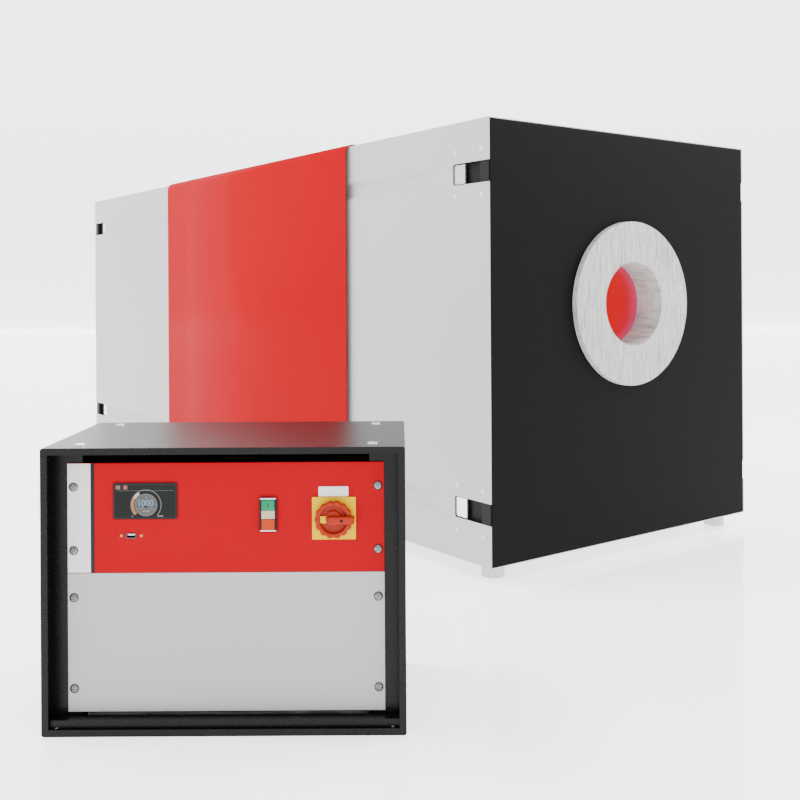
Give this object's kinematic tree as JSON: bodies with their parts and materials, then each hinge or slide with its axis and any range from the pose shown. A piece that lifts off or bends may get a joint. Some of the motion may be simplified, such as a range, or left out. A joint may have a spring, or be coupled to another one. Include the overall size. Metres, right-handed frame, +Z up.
{
  "type": "tube furnace",
  "caption": "Horizontal tube furnace in a painted case with a wrap-around cover and fibre end plugs, with its free-standing control cabinet.",
  "frame": {"origin": "on the axis of the work tube, at its mid-length", "axes": "+X along the tube towards the black end seen in the picture, -Y towards the long side that carries the cover, +Z up"},
  "size_m": [2.3719, 1.5365, 0.813],
  "materials": {
    "white_paint": "light grey powder coat, satin",
    "red_paint": "signal red powder coat, satin",
    "black_paint": "black fine-textured powder coat",
    "grey_paint": "light grey powder coat, satin",
    "fibre": "white ceramic fibre, trowelled",
    "hot_ceramic": "ceramic glowing red at temperature",
    "element_ribbon": "oxidised resistance ribbon",
    "galvanised": "zinc-plated sheet",
    "stainless": "bright stainless strip",
    "porcelain": "glazed terminal ceramic",
    "foot_rubber": "white moulded foot",
    "black_plastic": "black moulded plastic",
    "display_glass": "dark display window",
    "brass_screw": "nickel-plated screws",
    "port_metal": "plated port shell",
    "green_cap": "green push-button",
    "orange_cap": "orange-red push-button",
    "lens_cap": "pale signal lens",
    "yellow_plate": "yellow switch plate",
    "knob_red": "orange-red moulded knob",
    "aluminium": "extruded heat sink",
    "copper_coil": "varnished winding",
    "grey_plastic": "grey moulded housing"
  },
  "bodies": {
    "case_and_cabinet": {"front_skin": "white_paint", "rear_skin": "white_paint", "top_skin": "white_paint", "base_sheet": "galvanised", "feet": "foot_rubber", "right_end_panel": "black_paint", "left_end_panel": "black_paint", "latch_pockets": "black_paint", "latch_tongues": "stainless", "frame_rails": "galvanised", "frame_hoops": "galvanised", "cradles": "galvanised", "heated_tube": "hot_ceramic", "heating_elements": "element_ribbon", "upper_insulation": "fibre", "lower_insulation": "fibre", "upper_can": "galvanised", "lower_can": "galvanised", "element_leads": "element_ribbon", "terminal_blocks": "porcelain", "terminal_brackets": "galvanised", "thermocouples": "stainless", "entry_plate": "black_paint", "entry_glands": "black_plastic", "wrap_cover": "red_paint", "cover_spacers": "galvanised", "cabinet_shell": "black_paint", "cabinet_ledge": "black_paint", "rack_angles": "black_paint", "control_panel": "red_paint", "lower_panel": "grey_paint", "panel_screws": "brass_screw", "display_bezel": "black_plastic", "display_glass": "display_glass", "controller_body": "grey_plastic", "memory_port": "port_metal", "button_plate": "black_plastic", "button_lens": "lens_cap", "contact_block": "grey_plastic", "switch_plate": "yellow_plate", "switch_body": "grey_plastic", "chassis_tray": "galvanised", "heat_sink": "aluminium", "power_stack": "grey_plastic", "transformer_core": "galvanised", "transformer_coil": "copper_coil", "contactor": "grey_plastic", "cabinet_rear_panel": "black_paint", "supply_sockets": "black_plastic", "cabinet_studs": "stainless"},
    "right_plug": {"right_plug": "fibre"},
    "left_plug": {"left_plug": "fibre"},
    "green_button": {"green_button": "green_cap"},
    "orange_button": {"orange_button": "orange_cap"},
    "main_switch": {"switch_knob": "knob_red", "knob_insert": "yellow_plate", "switch_shaft": "galvanised"}
  },
  "joints": [
    {"name": "right_plug_slide", "type": "slide", "parent": "case_and_cabinet", "child": "right_plug", "axis": [1, 0, 0], "range_m": [0, 0.08]},
    {"name": "left_plug_slide", "type": "slide", "parent": "case_and_cabinet", "child": "left_plug", "axis": [-1, 0, 0], "range_m": [0, 0.08]},
    {"name": "green_button_press", "type": "slide", "parent": "case_and_cabinet", "child": "green_button", "axis": [-0.8078, 0.5894, 0], "range_m": [0, 0.003], "stiffness_N_per_m": 400},
    {"name": "orange_button_press", "type": "slide", "parent": "case_and_cabinet", "child": "orange_button", "axis": [-0.8078, 0.5894, 0], "range_m": [0, 0.003], "stiffness_N_per_m": 400},
    {"name": "main_switch_turn", "type": "hinge", "parent": "case_and_cabinet", "child": "main_switch", "pos_m": [1.29963, -0.87056, -0.236], "axis": [0.8078, -0.5894, 0], "range_deg": [0, 90]}
  ]
}
